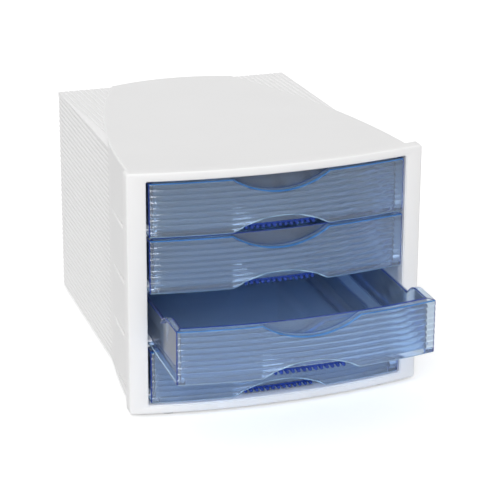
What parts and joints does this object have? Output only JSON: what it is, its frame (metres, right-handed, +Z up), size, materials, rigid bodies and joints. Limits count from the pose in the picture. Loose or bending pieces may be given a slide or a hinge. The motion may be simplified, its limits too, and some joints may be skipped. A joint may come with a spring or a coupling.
{
  "type": "desktop drawer unit",
  "caption": "Desktop drawer unit: a pale moulded case with fluted, flared sides and clear blue sliding drawers with bowed, reeded fronts, for papers and small parts.",
  "frame": {"origin": "on the desk, under the middle of the unit's overall length and width as it stands with the third drawer drawn out", "axes": "+Z up, the drawer fronts face -Y, +X to the right as seen from behind the unit's front looking along +Y"},
  "size_m": [0.29, 0.4626, 0.2435],
  "materials": {
    "case_plastic": "pale grey moulded plastic, satin",
    "foot_rubber": "pale rubber, matte",
    "drawer_plastic": "clear ice-blue moulded plastic, glossy"
  },
  "bodies": {
    "case": {"front_frame": "case_plastic", "side_left": "case_plastic", "side_right": "case_plastic", "top_cover": "case_plastic", "back_panel": "case_plastic", "base_plate": "case_plastic", "rail_left_1": "case_plastic", "rail_left_2": "case_plastic", "rail_left_3": "case_plastic", "rail_left_4": "case_plastic", "rail_right_1": "case_plastic", "rail_right_2": "case_plastic", "rail_right_3": "case_plastic", "rail_right_4": "case_plastic", "foot_front_left": "foot_rubber", "foot_front_right": "foot_rubber", "foot_rear_left": "foot_rubber", "foot_rear_right": "foot_rubber"},
    "drawer_1": {"drawer_1_tray": "drawer_plastic", "drawer_1_front": "drawer_plastic"},
    "drawer_2": {"drawer_2_tray": "drawer_plastic", "drawer_2_front": "drawer_plastic"},
    "drawer_3": {"drawer_3_tray": "drawer_plastic", "drawer_3_front": "drawer_plastic"},
    "drawer_4": {"drawer_4_tray": "drawer_plastic", "drawer_4_front": "drawer_plastic"}
  },
  "joints": [
    {"name": "drawer_1_slide", "type": "slide", "parent": "case", "child": "drawer_1", "axis": [0, -1, 0], "range_m": [0, 0.24]},
    {"name": "drawer_2_slide", "type": "slide", "parent": "case", "child": "drawer_2", "axis": [0, -1, 0], "range_m": [0, 0.24]},
    {"name": "drawer_3_slide", "type": "slide", "parent": "case", "child": "drawer_3", "axis": [0, -1, 0], "range_m": [-0.086, 0.154]},
    {"name": "drawer_4_slide", "type": "slide", "parent": "case", "child": "drawer_4", "axis": [0, -1, 0], "range_m": [0, 0.24]}
  ]
}
